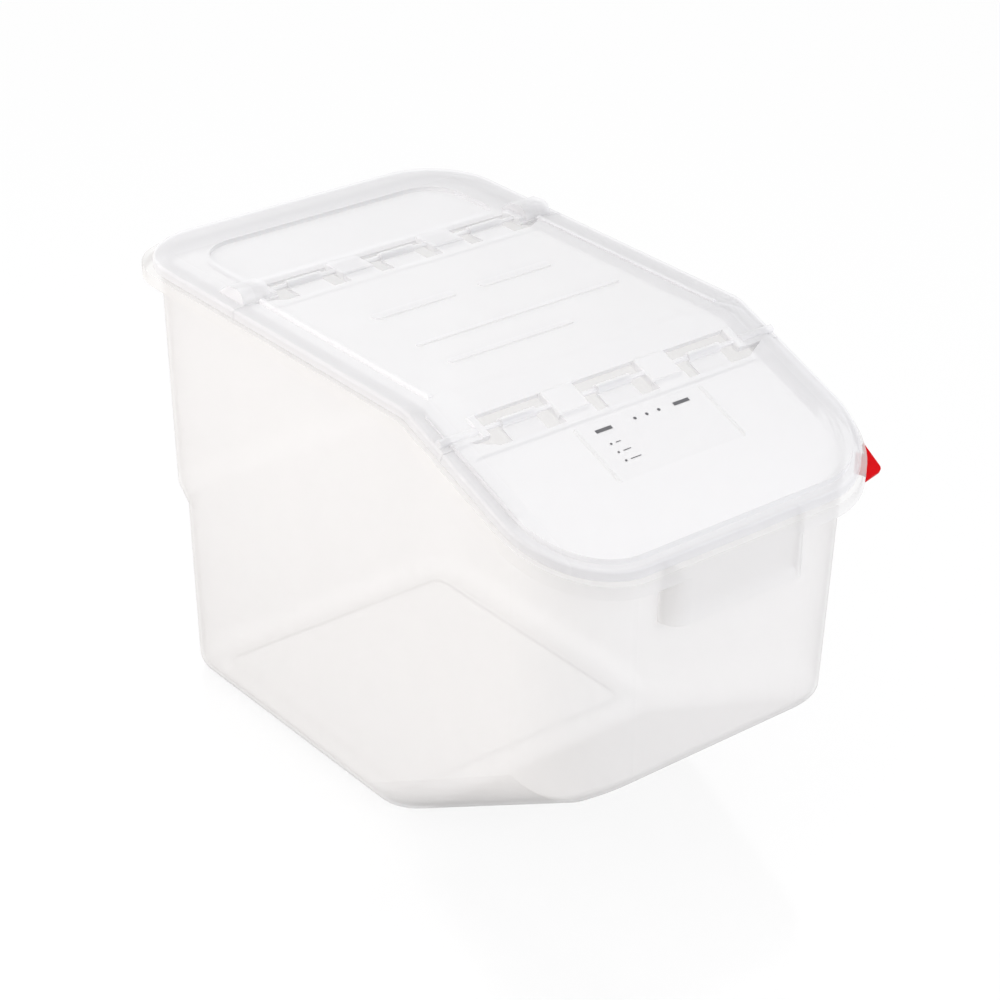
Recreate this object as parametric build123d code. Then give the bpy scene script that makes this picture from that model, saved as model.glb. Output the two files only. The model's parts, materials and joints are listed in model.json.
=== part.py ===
"""Ingredient bin with a slanted front, a three-panel snap lid, two snap hinges and a colour clip.

Millimetres, +Z up. The origin lies on the floor plane, midway between the sides and midway along
the rim's depth. The slanted front faces -Y, +X is to the right for someone who stands before it.
"""
from build123d import *
import math
import os

# The rim, which sets the overall width and depth
rim_width = 376.0
rim_depth = 633.0
rim_height = 420.0
rim_front_corner = 89.0
rim_rear_corner = 61.0
rim_sheet = 3.0
rim_lip_height = 11.5
rim_lip_sheet = 2.5
rim_reach = 17.0
upstand_height = 4.5

# The side view: the rim runs level from the back, then slopes down over the front
level_run = 423.0
front_slope = 21.2
bend_radius = 26.0

# The tapered tub
wall = 2.6
floor_sheet = 3.0
side_draft = 1.5
back_draft = 0.5
front_draft = 1.0
step_depth = 15.3
step_top = 197.3
step_bottom = 181.0
toe_height = 133.0
toe_angle = 30.3
toe_radius = 40.0
toe_side_radius = 40.0
bottom_radius = 18.0
pad_inset = 32.0
pad_rise = 4.0
pad_corner = 12.0

# The hand grip under the front rim
grip_width = 150.0
grip_drop = 55.0
grip_corner = 18.0
grip_sheet = 2.6

# The lid, in three panels that share one section
lid_inset = 5.0
lid_rear_corner = 70.0
lid_rise = 8.5
lid_sheet = 2.4
lid_seat_gap = 0.2
lid_edge_radius = 3.0
plug_depth = 7.0
plug_sheet = 2.0
plug_clearance = 3.5
panel_gap = 0.5

# The recessed middle of the rear lid
recess_side = 45.0
recess_back = 46.0
recess_depth = 4.0
recess_corner = 40.0
recess_front_gap = 30.0

# The raised panel of the middle flap, with a ridge along each side and low ribs across
middle_side = 26.0
middle_rise = 2.0
ridge_width = 5.0
ridge_height = 1.8
rib_height = 1.2
ribs = [
    (-101.0, -13.0, 39.0, 50.0),
    (14.0, 94.0, 39.0, 50.0),
    (-105.0, 117.0, -24.0, -19.0),
    (-103.0, 30.0, -66.0, -59.0),
]

# The raised panel of the front flap, which starts on the slope of the middle flap
panel_side = 11.0
panel_front = 7.0
panel_rise = 4.5
panel_corner = 72.0

# The two snap hinges, each with three pockets between two knuckles
rear_axis_from_back = 169.5
front_axis_from_bend = 42.5
axis_rise = 10.0
rod_radius = 2.2
rod_clearance = 0.1
hook_sheet = 1.9
hook_width = 36.0
hook_mouth = 3.6
pocket_half = 34.0
knuckle_width = 33.0
pocket_behind = 15.0
rear_hinge_reach = 26.0
front_hinge_reach = 22.0
knuckle_reach = 13.0
knuckle_rise = 2.5
end_block = 8.0
corner_cut = 26.0
rear_boss_radius = 10.5
front_boss_radius = 3.6
boss_inner_inset = 45.0
rear_boss_inset = 17.0
front_boss_inset = 7.0
rear_boss_tail = 30.0
rear_side_gap = 12.0
front_side_gap = 9.0

# The colour clip on the front right corner of the rim
clip_sheet = 2.8
clip_drop = 6.0
clip_gap = 0.2
clip_tongue_width = 24.0
clip_tongue_inward = 8.0
clip_tip_reach = 15.5
clip_tip_width = 45.0
clip_tip_radius = 7.0

# The label film on the front flap
label_width = 140.0
label_depth = 64.0
label_sheet = 0.3
label_corner = 4.0
label_from_hinge = 32.0

# Derived places
half_width = rim_width / 2
half_depth = rim_depth / 2
bend_y = half_depth - level_run
slope = math.radians(front_slope)
front_foot = -half_depth + rim_reach + (rim_height - toe_height) * math.tan(math.radians(front_draft))
toe_crease = front_foot + toe_height / math.tan(math.radians(toe_angle))
far = rim_depth + rim_width
tall = rim_height + 60.0
pocket_pitch = 2 * pocket_half + knuckle_width
pocket_centres = (-pocket_pitch, 0.0, pocket_pitch)
hinge_half = pocket_pitch + pocket_half
hook_radius = rod_radius + rod_clearance + hook_sheet
sheet_top = lid_rise - axis_rise
sheet_under = sheet_top - lid_sheet
plug_inset = rim_reach + wall + plug_clearance
boss_inner_x = half_width - boss_inner_inset
rear_boss_outer_x = half_width - rear_boss_inset
front_boss_outer_x = half_width - front_boss_inset
clip_corner_y = -half_depth + rim_front_corner
clip_rim_radius = rim_front_corner / math.sqrt((1 + math.cos(slope) ** 2) / 2)


def rounded(x_half, y_back, y_front, rear_corner, front_corner, z=0.0):
    """A rectangle with its own radius at the two rear and the two front corners, as a face at z."""
    outline = Polyline(
        (-x_half, y_front), (x_half, y_front), (x_half, y_back), (-x_half, y_back), close=True
    )
    face = make_face(outline)
    middle = (y_back + y_front) / 2
    rear = [v for v in face.vertices() if v.Y > middle]
    front = [v for v in face.vertices() if v.Y < middle]
    face = fillet(rear, rear_corner)
    front = [v for v in face.vertices() if abs(v.Y - y_front) < 1e-6]
    face = fillet(front, front_corner)
    return Pos(0, 0, z) * face


def prism(inset):
    """The rim's outline, drawn in by inset, as a tall upright block."""
    face = rounded(
        half_width - inset,
        half_depth - inset,
        -half_depth + inset,
        rim_rear_corner - inset,
        rim_front_corner - inset,
    )
    return extrude(face, tall)


def lid_prism(inset):
    """The lid's outline, drawn in by inset, as a tall upright block."""
    face = rounded(
        half_width - lid_inset - inset,
        half_depth - lid_inset - inset,
        -half_depth + lid_inset + inset,
        lid_rear_corner - inset,
        rim_front_corner - lid_inset - inset,
    )
    return extrude(face, tall)


def rim_points(rise):
    """The side view of the rim's top face, raised square to itself by rise."""
    centre_y = bend_y + bend_radius * math.tan(slope / 2)
    centre_z = rim_height - bend_radius
    radius = bend_radius + rise
    start = (centre_y, centre_z + radius)
    middle = (centre_y - radius * math.sin(slope / 2), centre_z + radius * math.cos(slope / 2))
    end = (centre_y - radius * math.sin(slope), centre_z + radius * math.cos(slope))
    back = (far, start[1])
    front = (end[0] - far * math.cos(slope), end[1] - far * math.sin(slope))
    return back, start, middle, end, front


def band(low, high):
    """The slab between two heights above the rim's top face, across the whole width."""
    back_h, start_h, middle_h, end_h, front_h = rim_points(high)
    back_l, start_l, middle_l, end_l, front_l = rim_points(low)
    edges = [
        Line(back_h, start_h),
        ThreePointArc(start_h, middle_h, end_h),
        Line(end_h, front_h),
        Line(front_h, front_l),
        Line(front_l, end_l),
        ThreePointArc(end_l, middle_l, start_l),
        Line(start_l, back_l),
        Line(back_l, back_h),
    ]
    return extrude(Plane.YZ * make_face(edges), half_width + 60.0, both=True)


def above(rise):
    """Everything higher than rise over the rim's top face."""
    return band(rise, rise + tall)


def on_slope(distance, rise):
    """The place at a distance down the slope from the bend and a rise square to it."""
    y = bend_y - distance * math.cos(slope) - rise * math.sin(slope)
    z = rim_height - distance * math.sin(slope) + rise * math.cos(slope)
    return Location((0, y, z), (front_slope, 0, 0))


rear_hinge = Location((0, half_depth - rear_axis_from_back, rim_height + axis_rise))
front_hinge = on_slope(front_axis_from_bend, axis_rise)


def behind(place, distance):
    """The space more than distance behind a hinge's axis; a negative one lies ahead of it."""
    return place * Pos(0, distance + far, 0) * Box(2 * far, 2 * far, 2 * far)


def ahead(place, distance):
    """The space more than distance ahead of a hinge's axis."""
    return place * Pos(0, -distance - far, 0) * Box(2 * far, 2 * far, 2 * far)


def tub_section(z, inset, stepped):
    """The tub's level section at height z, drawn in by inset."""
    fall = rim_height - z
    x_half = half_width - rim_reach - fall * math.tan(math.radians(side_draft)) - inset
    back = half_depth - rim_reach - fall * math.tan(math.radians(back_draft)) - inset
    front = -half_depth + rim_reach + fall * math.tan(math.radians(front_draft)) + inset
    if stepped:
        back -= step_depth
    rear_corner = rim_rear_corner - rim_reach - inset
    front_corner = rim_front_corner - rim_reach - inset
    return rounded(x_half, back, front, rear_corner, front_corner, z)


def channel(x_half, flare, radius):
    """An open-topped channel section with flared sides and rounded lower corners, as a face."""
    top_half = x_half + far * flare
    face = make_face(Polyline((-x_half, 0), (x_half, 0), (top_half, far), (-top_half, far), close=True))
    lower = [v for v in face.vertices() if abs(v.Y) < 1e-6]
    return fillet(lower, radius)


def toe_channel(crease, lift, inset):
    """A channel up the toe's slant, a hair wider than the tub, so only its round corners cut."""
    slant = math.radians(toe_angle)
    draft = math.tan(math.radians(side_draft))
    foot_half = half_width - rim_reach - rim_height * draft - inset + 0.05
    sections = []
    for run in (-far, far):
        x_half = foot_half + (lift + run * math.sin(slant)) * draft
        place = Pos(0, crease, lift) * Rot(-toe_angle, 0, 0) * Pos(0, -run, 0) * Rot(90, 0, 0)
        sections.append(place * channel(x_half, draft * math.cos(slant), toe_side_radius - inset))
    return loft(sections, ruled=True)


def bottom_edges(block):
    """The edges all round the underside: floor, crease and toe against the walls."""
    under = [f for f in block.faces() if f.normal_at().Z < -0.5 and f.center().Z < toe_height]
    found = {}
    for face in under:
        for edge in face.edges():
            key = tuple(round(c, 3) for c in edge.center())
            found.setdefault(key, []).append(edge)
    return [edges[0] for edges in found.values() if len(edges) == 1]


def tub_block(inset, lift):
    """The filled tub, drawn in by inset, with its floor raised by lift."""
    shoulder = step_top + inset * math.tan(math.radians(45 / 2))
    foot = step_bottom + inset * math.tan(math.radians(45 / 2))
    sections = [
        tub_section(0.0, inset, True),
        tub_section(foot, inset, True),
        tub_section(shoulder, inset, False),
        tub_section(tall, inset, False),
    ]
    block = loft(sections, ruled=True)
    slant = math.radians(toe_angle)
    corner_y = toe_crease - lift * math.tan(slant / 2)
    side = make_face(
        Polyline(
            (half_depth, lift),
            (corner_y, lift),
            (corner_y - far, lift + far * math.tan(slant)),
            (corner_y - far, far * 2),
            (half_depth, far * 2),
            close=True,
        )
    )
    corner = [v for v in side.vertices() if abs(v.X - corner_y) < 1e-6]
    side = fillet(corner, toe_radius - lift)
    block = block & extrude(Plane.YZ * side, half_width, both=True)
    block = fillet(bottom_edges(block), bottom_radius - inset)
    return block & toe_channel(corner_y, lift, inset)


def make_bin_body():
    """The tub with its rim, the locating upstand and the hand grip."""
    outside = tub_block(0.0, 0.0)
    inside = tub_block(wall, floor_sheet)
    pad_half = half_width - rim_reach - rim_height * math.tan(math.radians(side_draft)) - pad_inset
    pad_back = half_depth - rim_reach - step_depth - rim_height * math.tan(math.radians(back_draft)) - pad_inset
    pad_front = toe_crease + pad_inset
    pad = rounded(pad_half, pad_back, pad_front, pad_corner, pad_corner)
    raised = rounded(
        pad_half + floor_sheet, pad_back + floor_sheet, pad_front - floor_sheet, pad_corner, pad_corner
    )
    inside -= extrude(raised, floor_sheet + pad_rise)
    body = outside - above(upstand_height)
    body += prism(0.0) & band(-rim_sheet, 0.0)
    body += (prism(0.0) - prism(rim_lip_sheet)) & band(-rim_lip_height, -rim_sheet / 2)
    body += make_grip()
    body -= inside
    body -= extrude(pad, pad_rise)
    body -= clip_place() * clip_tongue(clip_gap)
    return body


def make_grip():
    """A pull grip under the front rim, hollow and open from below."""
    front = -half_depth
    back = front + rim_reach + wall
    front_rim_z = rim_height - (half_depth + bend_y) * math.tan(slope)
    top = front_rim_z + rim_reach
    low = front_rim_z - grip_drop

    def block(inset):
        face = make_face(
            Polyline(
                (-grip_width / 2 + inset, front + inset),
                (grip_width / 2 - inset, front + inset),
                (grip_width / 2 - inset, back),
                (-grip_width / 2 + inset, back),
                close=True,
            )
        )
        corners = [v for v in face.vertices() if v.Y < (front + back) / 2]
        return fillet(corners, grip_corner - inset)

    outer = extrude(Pos(0, 0, low) * block(0.0), top - low) - above(-rim_sheet / 2)
    inner = extrude(Pos(0, 0, low - 1.0) * block(grip_sheet), top - low) - above(-rim_sheet)
    return outer - inner


def lid_blank():
    """The whole lid before it is parted: sheet, outer skirt and the plug lip inside the rim."""
    blank = lid_prism(0.0) & band(lid_seat_gap, lid_rise)
    top_edges = [
        e for e in blank.edges()
        if e.center().Z > blank_top(e.center().Y) - 0.3 and not crosses_lid(e)
    ]
    blank = fillet(top_edges, lid_edge_radius)
    blank -= lid_prism(lid_sheet) & band(-1.0, lid_rise - lid_sheet)
    plug = (prism(plug_inset) - prism(plug_inset + plug_sheet)) & band(-plug_depth, lid_rise - lid_sheet / 2)
    plug -= Pos(0, -half_depth + rim_front_corner - far / 2, 0) * Box(far, far, far)
    return blank + plug


def blank_top(y):
    """The height of the lid's top face at y."""
    _, start, _, end, _ = rim_points(lid_rise)
    if y >= start[0]:
        return start[1]
    if y > end[0]:
        radius = bend_radius + lid_rise
        return start[1] - radius + math.sqrt(radius**2 - (y - start[0]) ** 2)
    return end[1] - (end[0] - y) * math.tan(slope)


def crosses_lid(edge):
    """True for an edge that runs from one side of the lid to the other at the bend."""
    ends = edge.vertices()
    return len(ends) == 2 and abs(ends[0].X - ends[1].X) > rim_width / 2 and abs(ends[0].Y) < half_depth / 2


def child_side(reach, side_gap):
    """In the hinge's own frame: the space in front of the seam, which the hooked panel keeps."""
    seam = -side_gap - panel_gap
    deep = -reach - panel_gap
    points = [
        (-far, seam),
        (-hinge_half - corner_cut, seam),
        (-hinge_half, deep),
        (hinge_half, deep),
        (hinge_half + corner_cut, seam),
        (far, seam),
        (far, -far),
        (-far, -far),
    ]
    keep = extrude(Pos(0, 0, -far / 2) * make_face(Polyline(*points, close=True)), far)
    for side in (-1, 1):
        middle = side * (pocket_half + knuckle_width / 2)
        tab = Box(knuckle_width, reach, far)
        keep += Pos(middle, -knuckle_reach - panel_gap - reach / 2, 0) * tab
    return keep


def carrier_side(side_gap):
    """In the hinge's own frame: the space behind the seam, less the three pockets."""
    points = [(-far, -side_gap), (far, -side_gap), (far, far), (-far, far)]
    keep = extrude(Pos(0, 0, -far / 2) * make_face(Polyline(*points, close=True)), far)
    for centre in pocket_centres:
        keep -= Pos(centre, pocket_behind - far / 2, 0) * Box(2 * pocket_half, far, far)
    for side in (-1, 1):
        middle = side * (pocket_half + knuckle_width / 2)
        keep += Pos(middle, 0, 0) * Box(knuckle_width, 2 * knuckle_reach, far)
    return keep


def cored_block(x_low, x_high, y_low, y_high, top, under):
    """A raised block on the sheet, cored from below to the sheet's thickness."""
    block = Pos((x_low + x_high) / 2, (y_low + y_high) / 2, (top + under) / 2) * Box(
        x_high - x_low, y_high - y_low, top - under
    )
    upper = [e for e in block.edges() if abs(e.center().Z - top) < 1e-6]
    block = fillet(upper, min(1.5, (top - under) / 3))
    wide = x_high - x_low - 2 * lid_sheet
    if wide > 2 * lid_sheet:
        core = Pos((x_low + x_high) / 2, (y_low + y_high) / 2, (top - lid_sheet + under) / 2) * Box(
            wide, y_high - y_low - 2 * lid_sheet, top - lid_sheet - under
        )
        block -= core
    return block


def end_boss(side, outer_x, radius, tail, inset):
    """The rounded end of a hinge, on the margin beside the pockets."""
    low = boss_inner_x + inset
    high = outer_x - inset
    reach = radius - inset
    middle = side * (low + high) / 2
    round_part = Pos(middle, 0, 0) * Rot(0, 90, 0) * Cylinder(reach, high - low)
    if tail > 0:
        points = [(0, reach), (0.45 * tail, reach - 1.5), (tail - inset, sheet_under), (0, sheet_under)]
        ramp = extrude(Plane.YZ * make_face(Polyline(*points, close=True)), (high - low) / 2, both=True)
        round_part += Pos(middle, 0, 0) * ramp
    keep = Pos(middle, 0, sheet_under + far / 2) * Box(high - low, far, far)
    return round_part & keep


def hinge_carrier(boss_outer_x, boss_radius, tail):
    """What the carrying panel adds: rods in the pockets, knuckle blocks, end blocks and bosses."""
    parts = []
    for centre in pocket_centres:
        parts.append(Pos(centre, 0, 0) * Rot(0, 90, 0) * Cylinder(rod_radius, 2 * pocket_half + 2.0))
    for side in (-1, 1):
        near, farther = sorted((side * pocket_half, side * (pocket_half + knuckle_width)))
        parts.append(cored_block(near, farther, -knuckle_reach, pocket_behind, knuckle_rise, sheet_under))
        near, farther = sorted((side * hinge_half, side * (hinge_half + end_block)))
        parts.append(cored_block(near, farther, -front_side_gap, pocket_behind, knuckle_rise, sheet_under))
        parts.append(end_boss(side, boss_outer_x, boss_radius, tail, 0.0))
    return parts


def hinge_hooks(reach):
    """What the hooked panel adds: a tongue into each pocket, ending in a C hook round the rod."""
    hooks = []
    for centre in pocket_centres:
        ring = Rot(0, 90, 0) * Cylinder(hook_radius, hook_width)
        length = reach + panel_gap + 1.0
        tongue = Pos(0, -length / 2, (sheet_top + sheet_under) / 2) * Box(hook_width, length, lid_sheet)
        hook = ring + tongue
        hook -= Rot(0, 90, 0) * Cylinder(rod_radius + rod_clearance, hook_width)
        hook -= Pos(0, 0, -hook_radius) * Box(hook_width, hook_mouth, 2 * hook_radius)
        hooks.append(Pos(centre, 0, 0) * hook)
    return hooks


def add_all(solid, place, parts):
    """Joins each part, set at a place, to the solid."""
    for part in parts:
        solid += place * part
    return solid


def make_rear_lid(blank):
    """The fixed rear panel: a broad border round a recess, and the rear hinge's rods."""
    lid = blank & (rear_hinge * carrier_side(rear_side_gap))
    back = half_depth - lid_inset - recess_back
    front = half_depth - rear_axis_from_back + recess_front_gap
    x_half = half_width - lid_inset - recess_side
    floor_level = lid_rise - recess_depth
    outer = rounded(x_half + lid_sheet, back + lid_sheet, front - lid_sheet, recess_corner, pad_corner)
    inner = rounded(x_half, back, front, recess_corner - lid_sheet, pad_corner - lid_sheet)
    lid += extrude(outer, tall) & band(floor_level - lid_sheet, lid_rise - lid_sheet / 2)
    lid -= extrude(inner, tall) & band(floor_level, lid_rise + 1.0)
    lid = add_all(lid, rear_hinge, hinge_carrier(rear_boss_outer_x, rear_boss_radius, rear_boss_tail))
    for side in (-1, 1):
        lid -= rear_hinge * end_boss(side, rear_boss_outer_x, rear_boss_radius, rear_boss_tail, lid_sheet)
    return lid


def middle_outline(inset):
    """The middle flap's raised panel in plan: narrow on the level, wider down the slope."""
    level = half_width - lid_inset - middle_side - inset
    sloped = half_width - lid_inset - panel_side - inset
    points = [
        (-level, half_depth),
        (-level, bend_y),
        (-sloped, bend_y - (sloped - level)),
        (-sloped, -half_depth),
        (sloped, -half_depth),
        (sloped, bend_y - (sloped - level)),
        (level, bend_y),
        (level, half_depth),
    ]
    return extrude(make_face(Polyline(*points, close=True)), tall)


def make_middle_flap(blank):
    """The middle flap: level with side ridges and ribs, bent down to the front hinge's rods."""
    keep_rear = rear_hinge * child_side(rear_hinge_reach, rear_side_gap)
    keep_front = front_hinge * carrier_side(front_side_gap)
    flap = blank & keep_rear & keep_front
    top = lid_rise + middle_rise
    flap += middle_outline(0.0) & band(lid_rise - lid_sheet, top) & keep_rear & keep_front
    core = middle_outline(lid_sheet) & prism(plug_inset + plug_sheet + lid_sheet)
    core = core & ahead(rear_hinge, rear_hinge_reach + panel_gap + lid_sheet)
    core = core & behind(front_hinge, pocket_behind + lid_sheet)
    flap -= core & band(-1.0, top - lid_sheet)
    ridge_x = half_width - lid_inset - middle_side - ridge_width / 2
    ridge_back = half_depth - rear_axis_from_back - rear_side_gap - panel_gap
    for side in (-1, 1):
        ridge = Pos(side * ridge_x, (ridge_back + bend_y) / 2, rim_height + top) * Box(
            ridge_width, ridge_back - bend_y - 2.0, 2 * ridge_height
        )
        tops = [e for e in ridge.edges() if e.center().Z > rim_height + top + ridge_height - 0.01]
        flap += fillet(tops, ridge_width * 0.3)
    for x_low, x_high, y_low, y_high in ribs:
        rib = Pos((x_low + x_high) / 2, (y_low + y_high) / 2, rim_height + top) * Box(
            x_high - x_low, y_high - y_low, 2 * rib_height
        )
        flap += fillet(rib.edges().filter_by(Axis.Z), 0.45 * (y_high - y_low))
    flap = add_all(flap, front_hinge, hinge_carrier(front_boss_outer_x, front_boss_radius, 0.0))
    return add_all(flap, rear_hinge, hinge_hooks(rear_hinge_reach))


def front_outline(inset):
    """The front flap's raised panel in plan."""
    face = rounded(
        half_width - lid_inset - panel_side - inset,
        half_depth,
        -half_depth + lid_inset + panel_front + inset,
        pad_corner,
        panel_corner - inset,
    )
    return extrude(face, tall)


def make_front_flap(blank):
    """The slanted front flap: a raised panel inside a lower margin, hooked to the middle flap."""
    keep = front_hinge * child_side(front_hinge_reach, front_side_gap)
    flap = blank & keep
    top = lid_rise + panel_rise
    flap += front_outline(0.0) & band(lid_rise - lid_sheet, top) & keep
    core = front_outline(lid_sheet) & prism(plug_inset + plug_sheet + lid_sheet)
    core = core & ahead(front_hinge, front_hinge_reach + panel_gap + lid_sheet)
    flap -= core & band(-1.0, top - lid_sheet)
    return add_all(flap, front_hinge, hinge_hooks(front_hinge_reach))


def clip_place():
    """The clip's own frame at the front right corner: +X outward, flat on the slope of the rim."""
    distance = (bend_y - clip_corner_y) / math.cos(slope)
    return on_slope(distance, -clip_drop) * Pos(half_width - rim_front_corner, 0, 0) * Rot(0, 0, -45)


def clip_tongue(gap):
    """The clip's tongue, grown all round by gap, which passes through the lip of the rim."""
    inner = clip_rim_radius - clip_tongue_inward
    outer = clip_rim_radius + clip_tip_reach / 4 + gap
    return Pos((inner + outer) / 2, 0, -clip_sheet / 2) * Box(
        outer - inner, clip_tongue_width + 2 * gap, clip_sheet + 2 * gap
    )


def make_colour_clip():
    """A flat colour-code clip whose tongue is pushed through a slot in the lip of the rim."""
    tip = clip_rim_radius + clip_tip_reach
    root = clip_rim_radius - rim_lip_sheet
    half = clip_tip_width / 2 * (tip - root) / clip_tip_reach
    tab = make_face(Polyline((root, -half), (tip, 0), (root, half), close=True))
    point = [v for v in tab.vertices() if v.X > tip - 0.01]
    tab = fillet(point, clip_tip_radius)
    tab = clip_place() * extrude(Pos(0, 0, -clip_sheet) * tab, clip_sheet)
    return (tab - prism(-clip_gap)) + clip_place() * clip_tongue(0.0)


def make_label():
    """A thin film on the raised panel of the front flap."""
    face = make_face(
        Polyline(
            (-label_width / 2, -label_from_hinge - label_depth),
            (label_width / 2, -label_from_hinge - label_depth),
            (label_width / 2, -label_from_hinge),
            (-label_width / 2, -label_from_hinge),
            close=True,
        )
    )
    face = fillet(face.vertices(), label_corner)
    return front_hinge * extrude(Pos(0, 0, sheet_top + panel_rise) * face, label_sheet)


def main():
    os.makedirs("parts", exist_ok=True)
    blank = lid_blank()
    nodes = {
        "bin_body": make_bin_body(),
        "rear_lid": make_rear_lid(blank),
        "middle_flap": make_middle_flap(blank),
        "front_flap": make_front_flap(blank),
        "colour_clip": make_colour_clip(),
        "label": make_label(),
    }
    for name, solid in nodes.items():
        solid.label = name
        export_step(solid, f"parts/{name}.step")
        box = solid.bounding_box()
        print(name, len(solid.solids()), round(solid.volume), box.min, box.max)
    for name, place in (("rear axis", rear_hinge), ("front axis", front_hinge)):
        print(name, place.position)


main()
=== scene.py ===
# %% [markdown]
# # A slanted-front ingredient bin in frosted plastic
# The bin's shape comes ready-made from the CAD frame: a tapered tub, a lid in three hinged
# panels, a colour clip and a label film. What is left for Blender is the look: the milky
# moulded plastic, the printed film, the studio and the camera.

import json
import math

import bmesh
import bpy
from mathutils import Matrix, Vector

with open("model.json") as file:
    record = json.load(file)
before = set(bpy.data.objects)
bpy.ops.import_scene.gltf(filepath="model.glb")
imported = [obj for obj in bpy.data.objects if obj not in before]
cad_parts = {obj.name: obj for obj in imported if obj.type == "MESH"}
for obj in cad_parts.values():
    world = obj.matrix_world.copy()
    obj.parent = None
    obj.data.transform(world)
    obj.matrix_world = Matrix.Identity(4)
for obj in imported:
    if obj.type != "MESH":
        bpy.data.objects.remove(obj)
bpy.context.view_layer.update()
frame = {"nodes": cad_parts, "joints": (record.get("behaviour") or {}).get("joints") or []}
nodes = frame["nodes"]
print("nodes:", sorted(nodes))

# %% [markdown]
# ## The camera
# The photograph was taken from the bin's front left, a little above it, with a long lens. A
# camera could be placed by eye, but here its place, aim and lens were fitted to the rim's
# corners and straight edges, so that the render can be laid over the photograph.

# %% Camera
camera_place = Vector((-1.3313, -1.6369, 1.3782))
camera_aim = Vector((0.0219, 0.0209, 0.2253))
camera_roll = math.radians(0.797)
camera_lens = 96.75

camera_data = bpy.data.cameras.new("camera")
camera_data.lens = camera_lens
camera_data.sensor_width = 36.0
camera_data.clip_start = 0.05
camera = bpy.data.objects.new("camera", camera_data)
bpy.context.scene.collection.objects.link(camera)
aim_turn = (camera_aim - camera_place).to_track_quat("-Z", "Y").to_matrix().to_4x4()
roll_turn = Matrix.Rotation(camera_roll, 4, "Z")
camera.matrix_world = Matrix.Translation(camera_place) @ aim_turn @ roll_turn
bpy.context.scene.camera = camera
bpy.context.scene.view_settings.view_transform = "Standard"
print("the camera stands", round((camera_aim - camera_place).length, 3), "m from its aim")

# %% [markdown]
# ## Writing materials as formulas
# A material is a net of nodes. Wiring dozens of Math nodes by hand is slow and hard to read, so
# one small class wraps a socket and lets it be added and multiplied like a number. Each
# operation quietly adds the Math node that does it.


# %% A socket that does arithmetic
class Field:
    """One output socket of a node, with arithmetic."""

    def __init__(self, tree, socket):
        self.tree = tree
        self.socket = socket

    def math(self, operation, first, second=None):
        """Adds a Math node that works on Fields or plain numbers."""
        node = self.tree.nodes.new("ShaderNodeMath")
        node.operation = operation
        for slot, value in zip(node.inputs, (first, second)):
            if isinstance(value, Field):
                self.tree.links.new(value.socket, slot)
            elif value is not None:
                slot.default_value = value
        return Field(self.tree, node.outputs[0])

    def __add__(self, other):
        return self.math("ADD", self, other)

    def __sub__(self, other):
        return self.math("SUBTRACT", self, other)

    def __rsub__(self, other):
        return self.math("SUBTRACT", other, self)

    def __mul__(self, other):
        return self.math("MULTIPLY", self, other)

    def __lt__(self, other):
        return self.math("LESS_THAN", self, other)

    def __gt__(self, other):
        return self.math("GREATER_THAN", self, other)

    def __abs__(self):
        return self.math("ABSOLUTE", self)

    def at_least(self, least):
        return self.math("MAXIMUM", self, least)

    def or_else(self, other):
        """The union of two masks."""
        return self.math("MAXIMUM", self, other)

    def clamped(self):
        """The same value, kept between 0 and 1."""
        kept = self.math("ADD", self, 0.0)
        kept.socket.node.use_clamp = True
        return kept

    __radd__ = __add__
    __rmul__ = __mul__


# %% [markdown]
# All other nodes come from one method, which takes a node's type, its settings and what goes
# into its sockets. A socket is named with an underscore for each space, or by its number after
# an i where two sockets of a node share a name.


# %% A material or world under construction
class Finish:
    """The nodes of a new material or world, with one method that adds any node."""

    def __init__(self, owner):
        owner.use_nodes = True
        self.owner = owner
        self.tree = owner.node_tree
        self.tree.nodes.clear()

    def node(self, kind, settings=None, output=0, **values):
        """Adds a node, makes its settings, fills its sockets and returns one of its outputs."""
        node = self.tree.nodes.new("ShaderNode" + kind)
        for key, value in (settings or {}).items():
            setattr(node, key, value)
        for key, value in values.items():
            by_number = key[0] == "i" and key[1:].isdigit()
            slot = node.inputs[int(key[1:]) if by_number else key.replace("_", " ")]
            if isinstance(value, Field):
                self.tree.links.new(value.socket, slot)
            else:
                slot.default_value = value
        return Field(self.tree, node.outputs[output])

    def place(self):
        """The point of the surface in the object's own metres."""
        return self.node("TexCoord", output="Object")

    def parts(self, vector):
        """The three coordinates of a vector, each as a Field."""
        outputs = self.node("SeparateXYZ", Vector=vector).socket.node.outputs
        return [Field(self.tree, outputs[axis]) for axis in range(3)]

    def noise(self, vector, scale, detail=2.0):
        return self.node("TexNoise", Vector=vector, Scale=scale, Detail=detail)

    def blend(self, factor, first, second):
        """A colour that goes from first to second as factor goes from 0 to 1."""
        return self.node("Mix", {"data_type": "RGBA"}, output=2, i0=factor, i6=first, i7=second)

    def finish(self, shader, kind="Material"):
        """Wires a shader to the output and returns the material or world."""
        out = self.tree.nodes.new("ShaderNodeOutput" + kind)
        self.tree.links.new(shader.socket, out.inputs["Surface"])
        print(self.owner.name, "has", len(self.tree.nodes), "nodes")
        return self.owner


# %% [markdown]
# ## Frosted polypropylene
# The tub and its lid are moulded in natural polypropylene: milky, matt, and thin enough that
# light passes and what stands right behind it shows as a ghost. Rough refraction could do this,
# but light has to pass four skins to leave the closed bin, and most of it gets lost on the way,
# so the bin turns grey. Instead each wall is a milky skin that lets a share of the light
# straight through, which keeps the inside as bright as the room. A wall has two skins, and the
# one met from within the plastic lets nearly all light pass, so a wall counts once. Seen at a
# flat angle the way through the plastic is long, as in the corners and along the rolled edges,
# and there the core swallows some light and draws the thin grey lines that tell clear plastic
# from paper. Slow clouds stand for the way the plastic flowed in the mould, and a very fine bump
# stands for its texture.

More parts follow.
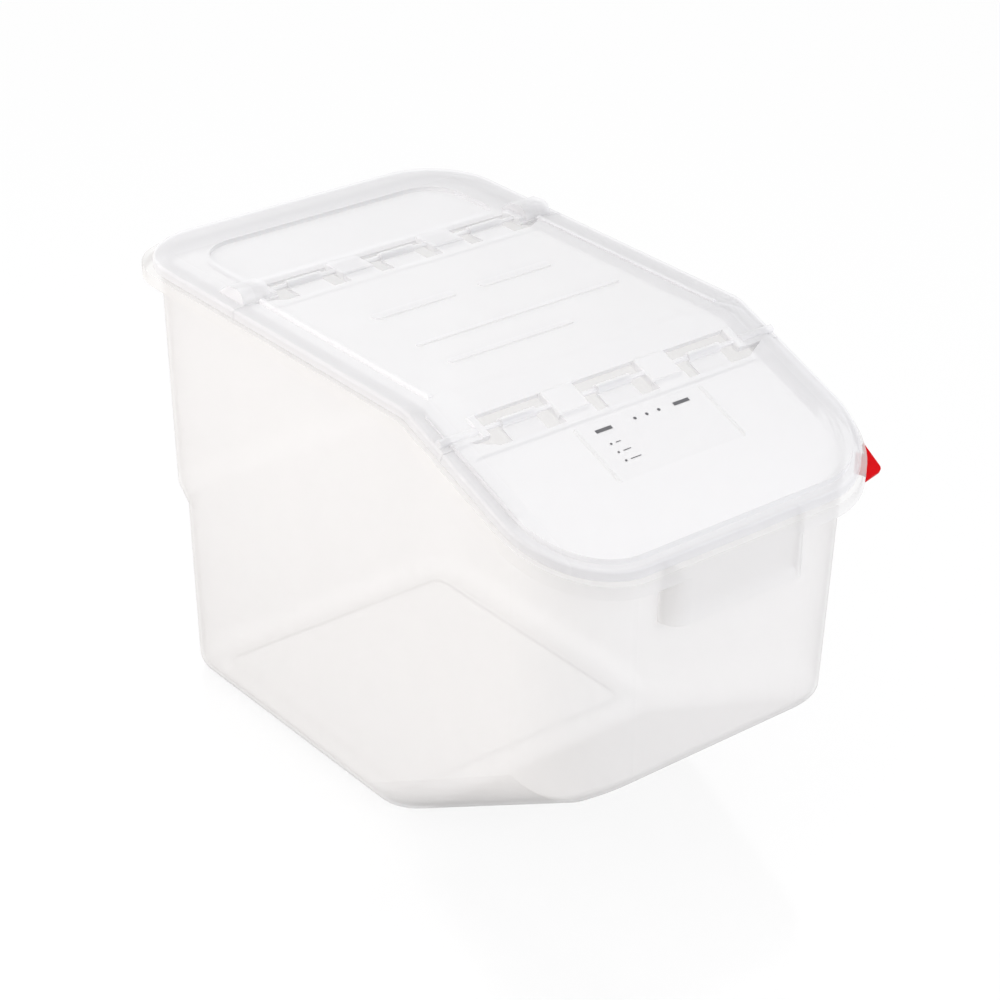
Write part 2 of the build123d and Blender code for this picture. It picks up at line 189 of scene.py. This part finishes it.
# %% Moulded plastic
plastic_ior = 1.49
core_grey = (0.50, 0.49, 0.47, 1)
cloud_scale = 6.0
streak_stretch = (9.0, 9.0, 2.0)
texture_scale = 900.0
texture_depth = 0.0003


def frosted(
    name, tone, shade, density, core_weight, roughness, grain, sheet_and_shade_places, painted_shade_tone
):
    """A milky plastic, denser and painted greyer as shade where the mask marks two sheets."""
    plastic = Finish(bpy.data.materials.new(name))
    point = plastic.place()
    cloud = plastic.noise(point, cloud_scale, 3.0)
    stretched = plastic.node("Mapping", Vector=point, Scale=streak_stretch)
    streak = plastic.noise(stretched, 1.0)
    flow = (0.6 * cloud + 0.4 * streak).clamped()
    sheet_and_shade = sheet_and_shade_places(*plastic.parts(point))
    colour = plastic.blend(flow, tone, shade)
    # Painted shade: the masked rim, grip, margin and ribs are coloured greyer.
    colour = plastic.blend(sheet_and_shade, colour, painted_shade_tone)
    texture = plastic.noise(point, texture_scale)
    bump = plastic.node("Bump", Height=texture, Strength=grain, Distance=texture_depth)
    within = plastic.node("NewGeometry", output="Backfacing")
    slant = plastic.node("LayerWeight", output="Facing", Blend=0.5)
    skin = density + 0.10 * (flow - 0.5) + 0.05 * sheet_and_shade + 0.15 * slant * slant
    core = core_weight * slant * slant * slant
    shader = plastic.node(
        "BsdfPrincipled",
        Base_Color=plastic.blend(within, colour, core_grey),
        Roughness=roughness + 0.12 * (flow - 0.5),
        IOR=plastic_ior,
        Alpha=(skin * (1.0 - within) + core * within).clamped(),
        Normal=bump,
    )
    return plastic.finish(shader)


# %% [markdown]
# ## Painted shade where two sheets lie together
# Less light comes through two sheets than through one, and the lid's edge shades the rim's lip.
# So the turned-down rim, the grip, the lid's margin and its ribs are made a little denser, and a
# greyer colour paints this shade into them. Each of these places is a mask on the surface's own
# coordinates. They could be painted by hand, but the bin's measures give them exactly.

# %% Masks of the places that get painted shade
front_slope = math.radians(21.2)
bend_y = -0.1065
rim_height = 0.420
rim_lip = 0.0125
grip_front_y = -0.3005
grip_foot = 0.283
grip_half_width = 0.0755
lid_margin_x = 0.158
lid_margin_y = 0.266
rib_foot = 0.4309
rib_reach = (0.119, 0.068)


def rim_and_grip(x, y, z):
    """The turned-down lip of the rim, and the grip's plate in front of the wall."""
    rim = rim_height - math.tan(front_slope) * (bend_y - y).at_least(0.0)
    grip = (y < grip_front_y) * (z > grip_foot) * (abs(x) < grip_half_width)
    return (z > rim - rim_lip).or_else(grip)


def margin_and_ribs(x, y, z):
    """The lid's outer margin on the rim, and the low ribs across the middle flap."""
    ribs = (z > rib_foot) * (abs(x) < rib_reach[0]) * (abs(y) < rib_reach[1])
    return (abs(x) > lid_margin_x).or_else(y > lid_margin_y).or_else(ribs)


# %% [markdown]
# The tub is the clearer of the two plastics and a little warmer. The lid is milkier, smoother
# and slightly blue, as the photograph shows it.

# %% The tub's and the lid's plastic
tub_plastic = frosted(
    "milky_tub",
    tone=(0.990, 0.976, 0.968, 1),
    shade=(0.974, 0.961, 0.953, 1),
    density=0.44,
    core_weight=0.9,
    roughness=0.42,
    grain=0.12,
    sheet_and_shade_places=rim_and_grip,
    # Painted shade: the rim's lip and the grip are drawn in this greyer tone.
    painted_shade_tone=(0.88, 0.87, 0.86, 1),
)
lid_plastic = frosted(
    "milky_lid",
    tone=(0.890, 0.887, 0.902, 1),
    shade=(0.870, 0.867, 0.883, 1),
    density=0.58,
    core_weight=0.45,
    roughness=0.34,
    grain=0.10,
    sheet_and_shade_places=margin_and_ribs,
    # Painted shade: the lid's margin and its ribs are drawn in this greyer tone.
    painted_shade_tone=(0.845, 0.842, 0.858, 1),
)

# %% [markdown]
# ## The colour clip
# A small red clip marks what is inside. It is ordinary coloured plastic: nearly smooth, with a
# soft shine. A faint mottling keeps the red from looking painted on.

# %% Red plastic
dark_red = (0.62, 0.001, 0.004, 1)
light_red = (0.72, 0.004, 0.008, 1)

clip = Finish(bpy.data.materials.new("clip_red"))
mottle = clip.noise(clip.place(), 220.0)
pits = clip.noise(clip.place(), 1400.0)
red_plastic = clip.finish(
    clip.node(
        "BsdfPrincipled",
        Base_Color=clip.blend(mottle, dark_red, light_red),
        Roughness=0.40 + 0.1 * mottle,
        IOR=1.4,
        Specular_IOR_Level=0.06,
        Normal=clip.node("Bump", Height=pits, Strength=0.1, Distance=0.0002),
    )
)

# %% [markdown]
# ## The label film
# The front flap carries a plain film that is nearly clear, printed with two short bars, a row of
# dots and a short list of strokes. The print could be a picture on the film, but as a mask worked
# out from the surface's own coordinates it stays sharp at any distance. It is laid out from the
# front hinge's axis, down the slope of the flap.

# %% Masks of the print
front_hinge = next(j for j in frame["joints"] if j["name"] == "front_hinge")
hinge_place = Vector(front_hinge["pos_m"])
film = Finish(bpy.data.materials.new("printed_film"))
x, y, z = film.parts(film.place())
run = (hinge_place.y - y) * math.cos(front_slope)
down = run + (hinge_place.z - z) * math.sin(front_slope)


def box_mask(x_low, x_high, low, high):
    """1 inside a rectangle on the film, measured down the slope from the hinge's axis."""
    return (x > x_low) * (x < x_high) * (down > low) * (down < high)


def dot_mask(x_middle, middle, radius):
    """1 inside a round dot on the film."""
    dx = x - x_middle
    dy = down - middle
    return (dx * dx + dy * dy) < radius * radius


# %% Printed film
bar_length = 0.017
bar_rows = (0.0405, 0.0440)
dot_row = 0.0422
first_line = 0.058
line_pitch = 0.010
half_stroke = 0.0004

print_mask = box_mask(-0.052, -0.052 + bar_length, *bar_rows)
print_mask = print_mask + box_mask(0.032, 0.032 + bar_length, *bar_rows)
for step in range(3):
    print_mask = print_mask + dot_mask(-0.010 + 0.013 * step, dot_row, 0.0015)
    line = first_line + line_pitch * step
    stroke_end = -0.038 + 0.003 * step
    print_mask = print_mask + dot_mask(-0.048, line, 0.0011)
    print_mask = print_mask + box_mask(-0.043, stroke_end, line - half_stroke, line + half_stroke)
print_mask = print_mask.clamped()
ink = film.blend(film.noise(film.place(), 400.0), (0.10, 0.10, 0.11, 1), (0.16, 0.16, 0.17, 1))
clear = film.blend(film.noise(film.place(), 30.0), (0.90, 0.90, 0.895, 1), (0.87, 0.87, 0.87, 1))
label_film = film.finish(
    film.node(
        "BsdfPrincipled",
        Base_Color=film.blend(print_mask, clear, ink),
        Roughness=0.42 - 0.12 * print_mask,
        IOR=1.45,
        Alpha=0.01 + 0.99 * print_mask,
    )
)

# %% [markdown]
# ## Dressing the CAD nodes
# The CAD solids already have the right shapes, so they stay. Each only needs its real finish in
# the material slot that the frame gave it.

# %% Put the finishes on
dress = {
    "bin_body": tub_plastic,
    "rear_lid": lid_plastic,
    "middle_flap": lid_plastic,
    "front_flap": lid_plastic,
    "colour_clip": red_plastic,
    "label": label_film,
}
for name, material in dress.items():
    for slot in nodes[name].material_slots:
        slot.material = material
    print(name, "wears", material.name)

# %% [markdown]
# ## The studio
# The photograph is a high-key catalogue picture: a white sweep, soft light from all round, a
# soft shadow and a faint reflection under the bin. The floor is one big square. What the camera
# sees of it is mostly its own white glow, with enough plain diffuse in it to keep the shadow.
# That glow is only for rays that end in the eye, so it doesn't light the bin, and other rays
# meet a greyer floor, which keeps the slanted toe dark.


# %% White floor
def seen_by_camera(owner):
    """1 for rays that carry what the camera sees: straight, by reflection or through plastic."""
    straight = owner.node("LightPath", output="Is Camera Ray")
    outputs = straight.socket.node.outputs
    glossy = Field(owner.tree, outputs["Is Glossy Ray"])
    through = Field(owner.tree, outputs["Is Transmission Ray"])
    return (straight + glossy + through).clamped()


mesh = bpy.data.meshes.new("floor")
square = bmesh.new()
bmesh.ops.create_grid(square, x_segments=1, y_segments=1, size=12.0)
square.to_mesh(mesh)
square.free()
floor = bpy.data.objects.new("floor", mesh)
bpy.context.scene.collection.objects.link(floor)

sweep = Finish(bpy.data.materials.new("floor_white"))
white = (1, 1, 1, 1)
diffuse = sweep.node("BsdfDiffuse", Color=(0.93, 0.93, 0.93, 1))
bounce = sweep.node("BsdfDiffuse", Color=(0.29, 0.29, 0.30, 1))
glow = sweep.node("Emission", Color=white, Strength=1.01)
shadowed = sweep.node("MixShader", i0=0.12, i1=glow, i2=diffuse)
sheen = sweep.node("BsdfGlossy", Color=white, Roughness=0.12)
shown = sweep.node("MixShader", i0=0.08, i1=shadowed, i2=sheen)
floor_shader = sweep.node("MixShader", i0=seen_by_camera(sweep), i1=bounce, i2=shown)
mesh.materials.append(sweep.finish(floor_shader))

# %% [markdown]
# ## The light
# Even light from everywhere would make the bin as flat as a paper cut-out. In a studio the side
# where the camera stands is darker than the rest, so the world dims on that side, and the corner
# that points at the camera turns grey. Three soft boxes stand close to the bin, one for the long
# side, one for the front and one for the lid. Close lamps fade along a wall, which gives each
# wall a bright middle and darker ends.

# %% White world
room_light = 0.93
dimmed = 0.31

world = bpy.data.worlds.new("studio")
bpy.context.scene.world = world
room = Finish(world)
camera_side = camera_place.to_2d().normalized().to_3d()
direction = room.node("TexCoord", output="Generated")
dot_product = {"operation": "DOT_PRODUCT"}
toward = room.node("VectorMath", dot_product, output=1, i0=direction, i1=camera_side)
ambient = room.node("Background", Color=white, Strength=room_light - dimmed * toward.clamped())
backdrop = room.node("Background", Color=white, Strength=1.0)
room.finish(room.node("MixShader", i0=seen_by_camera(room), i1=ambient, i2=backdrop), "World")


# %% Soft boxes
def soft_box(name, place, aim, size, power, colour):
    """A rectangular lamp that lights the bin but is itself left out of the picture."""
    data = bpy.data.lights.new(name, "AREA")
    data.color = colour
    data.shape = "RECTANGLE"
    data.size, data.size_y = size
    data.energy = power
    lamp = bpy.data.objects.new(name, data)
    lamp.visible_camera = False
    bpy.context.scene.collection.objects.link(lamp)
    turn = (Vector(aim) - Vector(place)).to_track_quat("-Z", "Y").to_matrix().to_4x4()
    lamp.matrix_world = Matrix.Translation(Vector(place)) @ turn
    print(name, "gives", power, "W")


soft_box(
    "long side",
    place=(-1.05, 0.12, 0.6),
    aim=(0, 0, 0.25),
    size=(1.4, 0.8),
    power=7.2,
    colour=(1.0, 0.955, 0.93),
)
soft_box(
    "front",
    place=(0.25, -1.2, 0.5),
    aim=(0, 0, 0.25),
    size=(1.2, 1.0),
    power=5.8,
    colour=(0.95, 0.955, 1.0),
)
soft_box(
    "lid",
    place=(-0.1, 0.8, 1.35),
    aim=(0, 0.15, 0.4),
    size=(0.9, 0.9),
    power=2.2,
    colour=(0.97, 0.975, 1.0),
)
